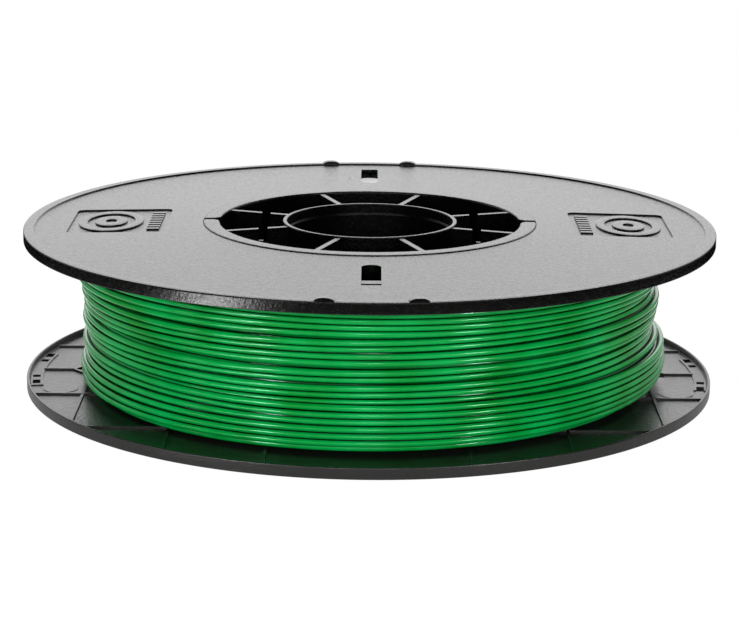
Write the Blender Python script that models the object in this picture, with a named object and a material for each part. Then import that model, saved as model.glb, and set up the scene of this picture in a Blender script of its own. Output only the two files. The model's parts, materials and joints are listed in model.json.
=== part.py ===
"""Filament spool: two flanges, a hub in two halves, and the filament wound on it.

Lengths are in metres. The origin is the spool's centre and +Z is its spin axis.
The upper and the lower side are the same two mouldings. The lower ones are turned
over and clocked a quarter turn, so that what lies on the upper side's Y axis lies
on the lower side's X axis.
"""

import math

import bmesh
import bpy
from mathutils import Matrix, Vector

MM = 0.001
OVERSHOOT = 1.0 * MM
SINK = 0.4 * MM
GAP = 0.3 * MM

FLANGE_SEGMENTS = 80
HUB_SEGMENTS = 60
SMOOTH_ANGLE = math.radians(25)

# Flange: heights are above the spool's middle plane
FLANGE_RADIUS = 100.0 * MM
RIM_WIDTH = 3.2 * MM
RIM_TOP = 23.4 * MM
RIM_UNDERSIDE = 20.1 * MM
RIM_CHAMFER = 0.4 * MM
RIM_LIP_INNER = 99.3 * MM
RIM_FOOT_INNER = 98.9 * MM
RIM_FOOT_TOP = 21.2 * MM
WEB_UNDERSIDE = 21.7 * MM
WEB_TOP_AT_RIM = 22.95 * MM
WEB_TOP_AT_HUB = 23.85 * MM
SHOULDER_TOP = 22.6 * MM

# Hub half
BARREL_INNER = 43.6 * MM
BARREL_OUTER = 47.2 * MM
LIP_OUTER = 48.2 * MM
LIP_UNDERSIDE = SHOULDER_TOP + GAP
HUB_TOP = 24.3 * MM
HUB_FOOT = 0.15 * MM
LIP_CHAMFER = 0.3 * MM
TUBE_OUTER = 25.3 * MM
TUBE_INNER = 24.1 * MM
BORE_RADIUS = 23.5 * MM
BORE_LEDGE = 21.3 * MM
SPOKE_COUNT = 8
SPOKE_SPREAD = math.radians(20)
SPOKE_THICKNESS = 1.6 * MM
SPOKE_TOP = 23.9 * MM
SPOKE_FOOT = 0.65 * MM

# Ribs across the spokes beside the X axis, and the spokes' notches above them
CROSS_RIB_X = 30.6 * MM
CROSS_RIB_REACH = 24.0 * MM
CROSS_RIB_TOP = 9.0 * MM
NOTCH_WIDTH = 2.6 * MM
NOTCH_REACH = 3.0 * MM
NOTCH_BOTTOM = 13.5 * MM
POST_WIDTH = 1.2 * MM
POST_DEPTH = 0.9 * MM
POST_TOP = 22.9 * MM

# Slit that holds the filament's first turn
SLIT_WIDTH = 2.3 * MM
SLIT_MOUTH_WIDTH = 6.5 * MM
SLIT_MOUTH_DEPTH = 1.6 * MM

# Tongues that locate one hub half in the other
TONGUE_ANGLE = math.radians(33)
TONGUE_WIDTH = 8.0 * MM
TONGUE_INNER = 41.4 * MM
TONGUE_OUTER = 43.1 * MM
TONGUE_REACH = 8.0 * MM
TONGUE_ROOT = 7.0 * MM

# Windows through the web on the Y axis, each with a shallow ramp on its -Y side
WINDOW_WIDTH = 5.3 * MM
WINDOW_SPANS = ((-72.8 * MM, -57.8 * MM), (74.6 * MM, 87.2 * MM))
WINDOW_ROUNDING = 2.4 * MM
RAMP_STARTS = (-88.0 * MM, 60.9 * MM)
RAMP_STEP = 0.05 * MM
RAMP_DROP = 0.6 * MM

# Ribs that part round each window on the web's underside
FORK_TIP = 87.6 * MM
FORK_SHOULDER = 83.6 * MM
FORK_END = 55.0 * MM
FORK_HALF_WIDTH = 4.6 * MM

# Recessed panels on the X axis
PANEL_START = 58.6 * MM
PANEL_LENGTH = 28.0 * MM
PANEL_WIDTH = 33.2 * MM
PANEL_DEPTH = 0.5 * MM
PANEL_CORNER = 2.0 * MM

# Lugs on the rim beside the Y axis, with a pad and blind filament pockets under them
LUG_OFFSET = 12.6 * MM
LUG_RADIUS = 97.9 * MM
LUG_LENGTH = 5.5 * MM
LUG_WIDTH = 2.2 * MM
LUG_TOP = 24.2 * MM
PAD_INNER = 95.4 * MM
PAD_UNDERSIDE = 21.4 * MM
PAD_HALF_ANGLE = math.radians(10.5)
PAD_STEPS = 8
POCKET_SPACING = 3.1 * MM
POCKET_SIZES = (4.0 * MM, 2.6 * MM)
POCKET_RADIUS = 97.2 * MM
POCKET_WIDTH = 2.2 * MM
POCKET_TOP = 22.5 * MM

# Ribs of the web's underside
RIB_WIDTH = 0.8 * MM
RIB_HEIGHT = 0.5 * MM
RIB_LEVEL_STEP = 0.05 * MM
ROW_PITCH = 27.1 * MM
COLUMN_OFFSETS = (0.0, 27.0 * MM, 60.0 * MM)

# Filament
STRAND_RADIUS = 0.875 * MM
COIL_INNER = BARREL_OUTER + GAP
COIL_HALF_HEIGHT = 21.0 * MM
COIL_MEAN_RADIUS = 83.9 * MM
COIL_UNEVENNESS = 0.8 * MM
COIL_WAVES = 1.6
COIL_PROFILE_STEPS = 8
FREE_END_HEIGHT = -8.0 * MM
FREE_END_START = math.radians(110)
FREE_END_SPAN = math.radians(40)
FREE_END_STEPS = 18
FREE_END_SIDES = 10

PLASTIC_COLOUR = (0.035, 0.035, 0.037, 1.0)
PLASTIC_ROUGHNESS = 0.4
FILAMENT_COLOUR = (0.007, 0.283, 0.075, 1.0)
FILAMENT_ROUGHNESS = 0.25

OTHER_SIDE = Matrix.Rotation(math.pi / 2, 4, "Z") @ Matrix.Rotation(math.pi, 4, "X")


def clear_scene():
    for old in list(bpy.data.objects):
        bpy.data.objects.remove(old, do_unlink=True)


def plastic(name, colour, roughness):
    material = bpy.data.materials.new(name)
    material.use_nodes = True
    shader = material.node_tree.nodes["Principled BSDF"]
    shader.inputs["Base Color"].default_value = colour
    shader.inputs["Roughness"].default_value = roughness
    shader.inputs["Metallic"].default_value = 0.0
    return material


def object_from(name, mesh_maker):
    """Link a new object whose mesh is the closed shape in the given bmesh."""
    bmesh.ops.recalc_face_normals(mesh_maker, faces=mesh_maker.faces)
    mesh = bpy.data.meshes.new(name)
    mesh_maker.to_mesh(mesh)
    mesh_maker.free()
    made = bpy.data.objects.new(name, mesh)
    bpy.context.scene.collection.objects.link(made)
    return made


def turned(name, outline, segments):
    """Turn a closed outline of (radius, height) points about the Z axis."""
    shape = bmesh.new()
    points = [shape.verts.new((radius, 0.0, height)) for radius, height in outline]
    edges = [shape.edges.new((point, points[index - 1])) for index, point in enumerate(points)]
    bmesh.ops.spin(shape, geom=points + edges, cent=(0, 0, 0), axis=(0, 0, 1),
                   angle=math.tau, steps=segments, use_merge=True)
    return object_from(name, shape)


def prism(name, outline, axis, start, end):
    """Extrude a flat outline of (a, b) points along X, Y or Z."""
    place = {"X": lambda a, b, c: (c, a, b), "Y": lambda a, b, c: (b, c, a),
             "Z": lambda a, b, c: (a, b, c)}[axis]
    shape = bmesh.new()
    rings = []
    for level in (start, end):
        rings.append([shape.verts.new(place(a, b, level)) for a, b in outline])
    shape.faces.new(rings[0])
    shape.faces.new(rings[1])
    for index in range(len(outline)):
        shape.faces.new((rings[0][index - 1], rings[0][index], rings[1][index], rings[1][index - 1]))
    return object_from(name, shape)


def box(low, high, turn=0.0):
    """A box between two corners, then turned about the Z axis."""
    outline = [(low[0], low[1]), (high[0], low[1]), (high[0], high[1]), (low[0], high[1])]
    made = prism("block", outline, "Z", low[2], high[2])
    made.data.transform(Matrix.Rotation(turn, 4, "Z"))
    return made


def combine(body, tool, operation):
    """Join a tool to a body, or cut it away, and drop the tool."""
    modifier = body.modifiers.new(operation.lower(), "BOOLEAN")
    modifier.object = tool
    modifier.operation = operation
    modifier.solver = "EXACT"
    before = body.data
    evaluated = body.evaluated_get(bpy.context.evaluated_depsgraph_get())
    body.data = bpy.data.meshes.new_from_object(evaluated)
    body.modifiers.clear()
    bpy.data.meshes.remove(before)
    bpy.data.objects.remove(tool, do_unlink=True)


def add(body, tool):
    combine(body, tool, "UNION")


def cut(body, tool):
    combine(body, tool, "DIFFERENCE")


def finish(body, material):
    body.data.name = body.name
    body.data.materials.clear()
    body.data.materials.append(material)
    body.data.shade_smooth()
    body.data.set_sharp_from_angle(angle=SMOOTH_ANGLE)
    return body


def other_side_copy(upper, name, material):
    """The same moulding on the lower side, as its own object."""
    lower = bpy.data.objects.new(name, upper.data.copy())
    bpy.context.scene.collection.objects.link(lower)
    lower.matrix_world = OTHER_SIDE
    return finish(lower, material)


def web_top(radius):
    """Height of the web's outer face, which rises a little towards the hub."""
    reach = FLANGE_RADIUS - RIM_WIDTH - LIP_OUTER
    return WEB_TOP_AT_HUB + (WEB_TOP_AT_RIM - WEB_TOP_AT_HUB) * (radius - LIP_OUTER) / reach


def flange_outline():
    seat = LIP_OUTER + GAP
    bore = BARREL_OUTER + GAP
    rim_inner = FLANGE_RADIUS - RIM_WIDTH
    return [
        (bore, WEB_UNDERSIDE),
        (RIM_FOOT_INNER, WEB_UNDERSIDE),
        (RIM_FOOT_INNER, RIM_FOOT_TOP),
        (RIM_LIP_INNER, RIM_UNDERSIDE),
        (FLANGE_RADIUS, RIM_UNDERSIDE),
        (FLANGE_RADIUS, RIM_TOP - RIM_CHAMFER),
        (FLANGE_RADIUS - RIM_CHAMFER, RIM_TOP),
        (rim_inner, RIM_TOP),
        (rim_inner, WEB_TOP_AT_RIM),
        (seat, web_top(seat)),
        (seat, SHOULDER_TOP),
        (bore, SHOULDER_TOP),
    ]


def add_window(flange, span, ramp_start):
    """Slot with a rounded end nearer +Y or -Y, and the ramp that runs down to it."""
    half = WINDOW_WIDTH / 2
    low, high = span
    shoulder = high - WINDOW_ROUNDING
    crown = high - WINDOW_ROUNDING / 3
    slot = [(-half, low), (half, low), (half, shoulder), (half / 2, crown), (0.0, high), (-half / 2, crown),
            (-half, shoulder)]
    cut(flange, prism("slot", slot, "Z", WEB_UNDERSIDE - OVERSHOOT, HUB_TOP + OVERSHOOT))
    ramp_end = low + SINK
    ramp = [
        (ramp_start, web_top(abs(ramp_start)) - RAMP_STEP),
        (ramp_end, web_top(abs(ramp_end)) - RAMP_DROP),
        (ramp_end, HUB_TOP + OVERSHOOT),
        (ramp_start, HUB_TOP + OVERSHOOT),
    ]
    cut(flange, prism("ramp", ramp, "X", -half, half))


def add_fork(flange, side):
    """Thin rib on the underside that parts at the rim side of a window and runs on both sides of it."""
    inner = FORK_HALF_WIDTH - RIB_WIDTH
    slant = RIB_WIDTH / 2
    right = [(FORK_HALF_WIDTH, FORK_SHOULDER), (FORK_HALF_WIDTH, FORK_END), (inner, FORK_END),
             (inner, FORK_SHOULDER - slant)]
    outline = [(0.0, FORK_TIP)] + right + [(0.0, FORK_TIP - RIB_WIDTH - slant)]
    outline += [(-x, y) for x, y in reversed(right)]
    rib = prism("fork", outline, "Z", WEB_UNDERSIDE - RIB_HEIGHT, WEB_UNDERSIDE + SINK)
    rib.data.transform(Matrix.Rotation(0.0 if side > 0 else math.pi, 4, "Z"))
    add(flange, rib)


def add_pad(flange, side):
    """Low pad on the underside that carries the filament pockets, inside the rim."""
    middle = side * math.pi / 2
    bearings = [middle + PAD_HALF_ANGLE * (2 * step / PAD_STEPS - 1) for step in range(PAD_STEPS + 1)]
    outline = [(PAD_INNER * math.cos(bearing), PAD_INNER * math.sin(bearing)) for bearing in bearings]
    outer = RIM_FOOT_INNER + SINK
    outline += [(outer * math.cos(bearing), outer * math.sin(bearing)) for bearing in reversed(bearings)]
    add(flange, prism("pad", outline, "Z", PAD_UNDERSIDE, WEB_UNDERSIDE + SINK))


def add_panel(flange, side):
    """Shallow rounded recess, with its floor parallel to the web's sloping face."""
    slope = math.atan2(WEB_TOP_AT_HUB - WEB_TOP_AT_RIM, FLANGE_RADIUS - RIM_WIDTH - LIP_OUTER)
    shape = bmesh.new()
    bmesh.ops.create_cube(shape, size=1.0)
    bmesh.ops.scale(shape, vec=(PANEL_LENGTH, PANEL_WIDTH, 2 * PANEL_DEPTH), verts=shape.verts)
    upright = [edge for edge in shape.edges if abs(edge.verts[0].co.z - edge.verts[1].co.z) > PANEL_DEPTH]
    bmesh.ops.bevel(shape, geom=upright, offset=PANEL_CORNER, segments=3, affect="EDGES", profile=0.5)
    cutter = object_from("panel", shape)
    middle = PANEL_START + PANEL_LENGTH / 2
    place = Matrix.Translation((middle, 0.0, web_top(middle))) @ Matrix.Rotation(slope, 4, "Y")
    turn = Matrix.Rotation(0.0 if side > 0 else math.pi, 4, "Z")
    cutter.data.transform(turn @ place)
    cut(flange, cutter)


def add_lug(flange, bearing, mirror):
    """Raised lug on the rim and the two blind filament pockets under it."""
    half_base = LUG_LENGTH / 2
    half_top = half_base - (LUG_TOP - RIM_TOP)
    outline = [(-half_base, RIM_TOP), (half_base, RIM_TOP), (half_top, LUG_TOP), (-half_top, LUG_TOP)]
    outline = [(-half_base, RIM_TOP - SINK), (half_base, RIM_TOP - SINK)] + outline[1:] + outline[:1]
    lug = prism("lug", [(z, x) for x, z in outline], "Y", LUG_RADIUS - LUG_WIDTH / 2, LUG_RADIUS + LUG_WIDTH / 2)
    lug.data.transform(Matrix.Rotation(bearing, 4, "Z"))
    add(flange, lug)
    for side, size in zip((mirror, -mirror), POCKET_SIZES):
        middle = side * POCKET_SPACING
        cut(flange, box((middle - size / 2, POCKET_RADIUS - POCKET_WIDTH / 2, PAD_UNDERSIDE - OVERSHOOT),
                        (middle + size / 2, POCKET_RADIUS + POCKET_WIDTH / 2, POCKET_TOP), bearing))


def rib_spans(offset):
    """Start and end of a straight rib on each side of the hub, or one span beside it."""
    outer_end = math.sqrt((RIM_FOOT_INNER - GAP) ** 2 - (offset + RIB_WIDTH / 2) ** 2)
    clear_of_hub = LIP_OUTER + OVERSHOOT
    if offset > clear_of_hub:
        return [(-outer_end, outer_end)]
    inner_end = math.sqrt(clear_of_hub ** 2 - max(offset - RIB_WIDTH / 2, 0.0) ** 2)
    return [(inner_end, outer_end), (-outer_end, -inner_end)]


def add_ribs(flange):
    """Crossing ribs on the web's underside."""
    half = RIB_WIDTH / 2
    underside = WEB_UNDERSIDE - RIB_HEIGHT
    rows = [step * ROW_PITCH for step in (1, 2, 3)]
    signed_rows = [sign * offset for offset in rows for sign in (1, -1)]
    signed_columns = [0.0] + [sign * offset for offset in COLUMN_OFFSETS[1:] for sign in (1, -1)]
    for offset in signed_rows:
        for start, end in rib_spans(abs(offset)):
            add(flange, box((start, offset - half, underside), (end, offset + half, WEB_UNDERSIDE + SINK)))
    for offset in signed_columns:
        for start, end in rib_spans(abs(offset)):
            if offset == 0.0:
                fork_tip = math.copysign(FORK_TIP - RIB_WIDTH, start + end)
                pad_edge = math.copysign(PAD_INNER + SINK, start + end)
                start, end = sorted((fork_tip, pad_edge))
            add(flange, box((offset - half, start, underside - RIB_LEVEL_STEP),
                            (offset + half, end, WEB_UNDERSIDE + SINK)))


def upper_flange(material):
    flange = turned("upper_flange", flange_outline(), FLANGE_SEGMENTS)
    add_ribs(flange)
    for side in (1, -1):
        add_fork(flange, side)
        add_pad(flange, side)
        add_panel(flange, side)
    for span, ramp_start in zip(WINDOW_SPANS, RAMP_STARTS):
        add_window(flange, span, ramp_start)
    bearing = math.asin(LUG_OFFSET / LUG_RADIUS)
    for half_turn in (0.0, math.pi):
        for mirror in (1, -1):
            add_lug(flange, half_turn + mirror * bearing, -mirror)
    return finish(flange, material)


def barrel_outline():
    return [
        (BARREL_INNER, HUB_FOOT),
        (BARREL_OUTER, HUB_FOOT),
        (BARREL_OUTER, LIP_UNDERSIDE),
        (LIP_OUTER, LIP_UNDERSIDE),
        (LIP_OUTER, HUB_TOP - LIP_CHAMFER),
        (LIP_OUTER - LIP_CHAMFER, HUB_TOP),
        (BARREL_INNER + LIP_CHAMFER, HUB_TOP),
        (BARREL_INNER, HUB_TOP - LIP_CHAMFER),
    ]


def tube_outline():
    return [
        (BORE_RADIUS, HUB_FOOT),
        (TUBE_OUTER, HUB_FOOT),
        (TUBE_OUTER, HUB_TOP),
        (TUBE_INNER, HUB_TOP),
        (TUBE_INNER, BORE_LEDGE),
        (BORE_RADIUS, BORE_LEDGE),
    ]


def add_spokes(hub):
    half = SPOKE_THICKNESS / 2
    for index in range(SPOKE_COUNT):
        quarter = math.pi / 2 * (index // 2)
        bearing = quarter + (SPOKE_SPREAD if index % 2 else -SPOKE_SPREAD)
        add(hub, box((TUBE_OUTER - SINK, -half, SPOKE_FOOT), (BARREL_INNER + 2 * SINK, half, SPOKE_TOP), bearing))


def add_cross_rib(hub, side):
    """Rib across two spokes, with a post at its -Y end and a notch in each spoke above it."""
    half = SPOKE_THICKNESS / 2
    middle = side * CROSS_RIB_X
    add(hub, box((middle - half, -CROSS_RIB_REACH, 2 * SPOKE_FOOT), (middle + half, CROSS_RIB_REACH, CROSS_RIB_TOP)))
    add(hub, box((middle - POST_WIDTH / 2, -CROSS_RIB_REACH + SINK, 3 * SPOKE_FOOT),
                 (middle + POST_WIDTH / 2, -CROSS_RIB_REACH + SINK + POST_DEPTH, POST_TOP)))
    spoke_y = CROSS_RIB_X * math.tan(SPOKE_SPREAD)
    for end in (1, -1):
        cut(hub, box((middle - NOTCH_WIDTH / 2, end * spoke_y - NOTCH_REACH, NOTCH_BOTTOM),
                     (middle + NOTCH_WIDTH / 2, end * spoke_y + NOTCH_REACH, SPOKE_TOP + OVERSHOOT)))


def cut_slit(hub, side):
    """Slit down the barrel, with a flared mouth on its inner side."""
    half = SLIT_WIDTH / 2
    outline = [
        (BARREL_INNER - OVERSHOOT, -SLIT_MOUTH_WIDTH / 2),
        (BARREL_INNER, -SLIT_MOUTH_WIDTH / 2),
        (BARREL_INNER + SLIT_MOUTH_DEPTH, -half),
        (LIP_OUTER + OVERSHOOT, -half),
        (LIP_OUTER + OVERSHOOT, half),
        (BARREL_INNER + SLIT_MOUTH_DEPTH, half),
        (BARREL_INNER, SLIT_MOUTH_WIDTH / 2),
        (BARREL_INNER - OVERSHOOT, SLIT_MOUTH_WIDTH / 2),
    ]
    cutter = prism("slit", outline, "Z", HUB_FOOT - OVERSHOOT, HUB_TOP + OVERSHOOT)
    cutter.data.transform(Matrix.Rotation(0.0 if side > 0 else math.pi, 4, "Z"))
    cut(hub, cutter)


def add_tongue(hub, bearing):
    """Tongue that stands out past the middle plane, with its root on the barrel's inside."""
    outline = [
        (TONGUE_INNER, -TONGUE_REACH),
        (TONGUE_OUTER, -TONGUE_REACH),
        (TONGUE_OUTER, SPOKE_FOOT),
        (BARREL_INNER + SINK, SPOKE_FOOT),
        (BARREL_INNER + SINK, TONGUE_ROOT),
        (TONGUE_INNER, TONGUE_ROOT),
    ]
    tongue = prism("tongue", [(z, x) for x, z in outline], "Y", -TONGUE_WIDTH / 2, TONGUE_WIDTH / 2)
    tongue.data.transform(Matrix.Rotation(bearing, 4, "Z"))
    add(hub, tongue)


def upper_hub_half(material):
    hub = turned("upper_hub_half", barrel_outline(), HUB_SEGMENTS)
    tube = turned("tube", tube_outline(), HUB_SEGMENTS)
    add_spokes(hub)
    add(hub, tube)
    for side in (1, -1):
        add_cross_rib(hub, side)
        cut_slit(hub, side)
    for half_turn in (0.0, math.pi):
        add_tongue(hub, half_turn + TONGUE_ANGLE)
    return finish(hub, material)


def coil_radius(height):
    """Outer radius of the winding, which bulges and narrows a little along the axis."""
    phase = math.tau * COIL_WAVES * height / (2 * COIL_HALF_HEIGHT)
    return COIL_MEAN_RADIUS + COIL_UNEVENNESS * math.sin(phase)


def filament_coil(material):
    step = 2 * COIL_HALF_HEIGHT / COIL_PROFILE_STEPS
    heights = [step * index - COIL_HALF_HEIGHT for index in range(COIL_PROFILE_STEPS + 1)]
    outline = [(coil_radius(height), height) for height in heights]
    outline += [(COIL_INNER, COIL_HALF_HEIGHT), (COIL_INNER, -COIL_HALF_HEIGHT)]
    return finish(turned("filament_coil", outline, HUB_SEGMENTS), material)


def filament_free_end(material):
    """Last stretch of the strand, lying on the coil; its origin is where it leaves the coil."""
    radius = coil_radius(FREE_END_HEIGHT) + 2 * GAP + STRAND_RADIUS
    start = Vector((radius * math.cos(FREE_END_START), radius * math.sin(FREE_END_START), FREE_END_HEIGHT))
    shape = bmesh.new()
    facing = Matrix.Rotation(FREE_END_START, 4, "Z") @ Matrix.Rotation(math.pi / 2, 4, "X")
    bmesh.ops.create_circle(shape, cap_ends=True, segments=FREE_END_SIDES, radius=STRAND_RADIUS, matrix=facing)
    spool_centre = (-start.x, -start.y, 0.0)
    bmesh.ops.spin(shape, geom=shape.verts[:] + shape.edges[:] + shape.faces[:], cent=spool_centre,
                   axis=(0, 0, -1), angle=FREE_END_SPAN, steps=FREE_END_STEPS, use_merge=False)
    strand = object_from("filament_free_end", shape)
    strand.location = start
    return finish(strand, material)


def main():
    clear_scene()
    flange_plastic = plastic("flange_plastic", PLASTIC_COLOUR, PLASTIC_ROUGHNESS)
    hub_plastic = plastic("hub_plastic", PLASTIC_COLOUR, PLASTIC_ROUGHNESS)
    filament = plastic("filament", FILAMENT_COLOUR, FILAMENT_ROUGHNESS)
    flange = upper_flange(flange_plastic)
    hub = upper_hub_half(hub_plastic)
    other_side_copy(flange, "lower_flange", flange_plastic)
    other_side_copy(hub, "lower_hub_half", hub_plastic)
    filament_coil(filament)
    filament_free_end(filament)


main()
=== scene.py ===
"""Looks of the filament spool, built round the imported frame.

Lengths are in metres. +Z is the spin axis and the camera stands on the -Y side. The lower side's
mouldings are the upper side's, turned over and clocked a quarter turn, as in the frame.
"""

import json
import math

import bmesh
import bpy
import numpy as np
from mathutils import Matrix, Vector


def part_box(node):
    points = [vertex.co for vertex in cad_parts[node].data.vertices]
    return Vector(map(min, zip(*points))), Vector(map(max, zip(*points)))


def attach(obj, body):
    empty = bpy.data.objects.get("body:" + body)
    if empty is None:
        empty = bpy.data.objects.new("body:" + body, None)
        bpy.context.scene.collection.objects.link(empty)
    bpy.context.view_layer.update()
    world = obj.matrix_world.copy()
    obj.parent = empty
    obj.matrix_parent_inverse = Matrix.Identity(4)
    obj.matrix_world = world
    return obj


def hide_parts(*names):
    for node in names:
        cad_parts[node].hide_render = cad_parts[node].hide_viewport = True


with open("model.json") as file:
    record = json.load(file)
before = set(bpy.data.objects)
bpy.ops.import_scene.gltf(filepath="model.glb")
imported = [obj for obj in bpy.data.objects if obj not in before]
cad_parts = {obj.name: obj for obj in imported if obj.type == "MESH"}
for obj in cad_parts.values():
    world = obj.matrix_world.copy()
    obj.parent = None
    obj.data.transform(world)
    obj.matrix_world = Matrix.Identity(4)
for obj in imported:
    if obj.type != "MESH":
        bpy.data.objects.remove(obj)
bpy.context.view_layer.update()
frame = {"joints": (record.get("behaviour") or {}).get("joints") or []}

MM = 0.001

# Sizes read from the frame
FLANGE_LOW, FLANGE_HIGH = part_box("upper_flange")
HUB_LOW, HUB_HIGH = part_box("upper_hub_half")
COIL_LOW, COIL_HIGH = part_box("filament_coil")
FREE_LOW, FREE_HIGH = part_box("filament_free_end")
FLANGE_RADIUS = FLANGE_HIGH.x
LUG_TOP = FLANGE_HIGH.z
HUB_TOP = HUB_HIGH.z
TONGUE_REACH = -HUB_LOW.z
STRAND_RADIUS = (FREE_HIGH.z - FREE_LOW.z) / 2
COIL_TOP = COIL_HIGH.z
FREE_END_PIVOT = Vector(next(j for j in frame["joints"] if j["name"] == "free_end_peel")["pos_m"])

OVERSHOOT = 1.0 * MM
SINK = 0.4 * MM
GAP = 0.3 * MM

# Flange moulding
RIM_TOP = LUG_TOP - 0.8 * MM
RIM_UNDERSIDE = FLANGE_LOW.z
RIM_WIDTH = 3.2 * MM
RIM_LIP_INNER = 99.3 * MM
RIM_FOOT_INNER = 98.9 * MM
RIM_FOOT_TOP = RIM_UNDERSIDE + 1.1 * MM
WEB_UNDERSIDE = RIM_UNDERSIDE + 1.6 * MM
WEB_TOP_AT_RIM = RIM_TOP - 0.45 * MM
WEB_TOP_AT_HUB = RIM_TOP + 0.6 * MM
SHOULDER_TOP = 22.6 * MM
FLANGE_SEGMENTS = 288

# Hub moulding
BARREL_INNER = 43.6 * MM
BARREL_OUTER = 47.2 * MM
LIP_OUTER = 48.3 * MM
LIP_CLEARANCE = -0.02 * MM
HUB_FOOT = 0.15 * MM
TUBE_OUTER = 25.3 * MM
TUBE_INNER = 24.1 * MM
BORE_RADIUS = 23.5 * MM
BORE_LEDGE = HUB_TOP - 3.0 * MM
HUB_SEGMENTS = 192
SPOKE_SPREAD = math.radians(20)
SPOKE_THICKNESS = 1.6 * MM
SPOKE_TOP = HUB_TOP - 0.4 * MM
SPOKE_FOOT = 0.65 * MM
CROSS_RIB_X = 30.6 * MM
CROSS_RIB_REACH = 24.0 * MM
CROSS_RIB_TOP = 9.0 * MM
NOTCH_WIDTH = 2.6 * MM
NOTCH_REACH = 3.0 * MM
NOTCH_BOTTOM = 13.5 * MM
POST_WIDTH = 1.2 * MM
POST_DEPTH = 0.9 * MM
POST_TOP = 22.9 * MM
SLIT_WIDTH = 2.3 * MM
SLIT_MOUTH_WIDTH = 6.5 * MM
SLIT_MOUTH_DEPTH = 1.6 * MM
TONGUE_ANGLE = math.radians(33)
TONGUE_WIDTH = 8.0 * MM
TONGUE_INNER = 41.4 * MM
TONGUE_OUTER = 43.1 * MM
TONGUE_ROOT = 7.0 * MM

# Windows, panels, lugs and ribs of the flange
WINDOW_WIDTH = 5.3 * MM
NEAR_WINDOW = (-72.8 * MM, -57.8 * MM)
FAR_WINDOW = (73.2 * MM, 87.2 * MM)
WINDOW_ROUNDING = 2.4 * MM
NEAR_WINDOW_X = 0.5 * MM
WALL_HEIGHT = 1.5 * MM
FAR_WINDOW_X = -0.25 * MM
NEAR_RAMP_START = -88.0 * MM
FAR_RAMP_START = 60.9 * MM
RAMP_STEP = 0.04 * MM
NEAR_RAMP_DROP = 0.6 * MM
FAR_RAMP_DROP = 0.45 * MM
LEAST_RAMP_TILT = 0.035
FAR_RAMP_ROUNDING = -3.0 * MM
GROOVE = (-78.4 * MM, -76.6 * MM)
FORK_TIP = 87.6 * MM
FORK_SHOULDER = 83.6 * MM
FORK_END = 55.0 * MM
FORK_HALF_WIDTH = 4.6 * MM
GATE_MARK = (-6.5 * MM, 68.7 * MM)
EJECTOR_MARK = (-20.5 * MM, 88.4 * MM)
EJECTOR_RADIUS = 5.0 * MM
PANEL_START = 58.6 * MM
PANEL_LENGTH = 28.0 * MM
PANEL_WIDTH = 33.2 * MM
PANEL_DEPTH = 0.5 * MM
PANEL_CORNER = 2.0 * MM
FAR_LUGS = (-13.0 * MM, 12.3 * MM)
NEAR_LUGS = (11.25 * MM, -12.6 * MM)
LUG_RADIUS = 97.9 * MM
LUG_LENGTH = 5.5 * MM
LUG_WIDTH = 2.2 * MM
PAD_INNER = 95.4 * MM
PAD_UNDERSIDE = 21.4 * MM
PAD_HALF_ANGLE = math.radians(10.5)
PAD_STEPS = 24
POCKET_SPACING = 3.1 * MM
POCKET_SIZES = (4.0 * MM, 2.6 * MM)
POCKET_RADIUS = 97.2 * MM
POCKET_WIDTH = 2.2 * MM
POCKET_TOP = 22.5 * MM
RIB_WIDTH = 0.8 * MM
RIB_HEIGHT = 0.5 * MM
RIB_LEVEL_STEP = 0.05 * MM
ROW_PITCH = 27.1 * MM
COLUMN_OFFSETS = (0.0, 27.0 * MM, 60.0 * MM)

# Plain relief in the panels
EMBLEM_HEIGHT = 0.46 * MM
EMBLEM_OFFSET = 2.6 * MM
EMBLEM_STRETCH = 1.5
EMBLEM_RINGS = ((9.4 * MM, 6.9 * MM), (4.7 * MM, 1.6 * MM))
BAR_COUNT = 8
BAR_PITCH = 3.2 * MM
BAR_WIDTH = 1.7 * MM
BAR_START = -12.2 * MM
BAR_END = -8.6 * MM

# Edge rounding of the mouldings
FILLET = 0.3 * MM
EDGE_ROUNDING = 0.22 * MM
EDGE_LAND = 1.2 * MM
EDGE_DROP = 0.08 * MM
CUT_BEVEL = 0.12 * MM
SHARP_ANGLE = math.radians(38)

# Winding
SAMPLES_PER_TURN = 240
WIND_TOP = COIL_TOP + 0.15 * MM - STRAND_RADIUS
LAYER_PITCH = 2.02 * MM
LAYER_TURNS = 2 * WIND_TOP / LAYER_PITCH
LAST_LAYER_TURNS = (WIND_TOP + FREE_END_PIVOT.z) / LAYER_PITCH
CLOSEST_PITCH = 1.77 * MM
UNDER_LAYERS_RADIUS = 79.3 * MM
END_LAYERS_DROP = 0.45 * MM
DISH_RADIUS = 66.0 * MM
DISH_SLOPE = 0.215
COIL_INNER = BARREL_OUTER + GAP
HIDDEN_LAYER_STEP = 1.66 * MM
END_TURN_SWAY = 0.22 * MM
END_TURN_RIPPLE = 0.10 * MM
END_TURN_WOBBLE = 0.06 * MM
FIRST_LAYER_PITCH = 2.05 * STRAND_RADIUS
CORE_INSET = 2.6 * MM
CORE_DROP = 0.5 * MM
CORE_RIPPLE = 0.6 * MM
CORE_GROOVES = 20
OUTER_SIDES = 12
INNER_SIDES = 8
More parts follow.
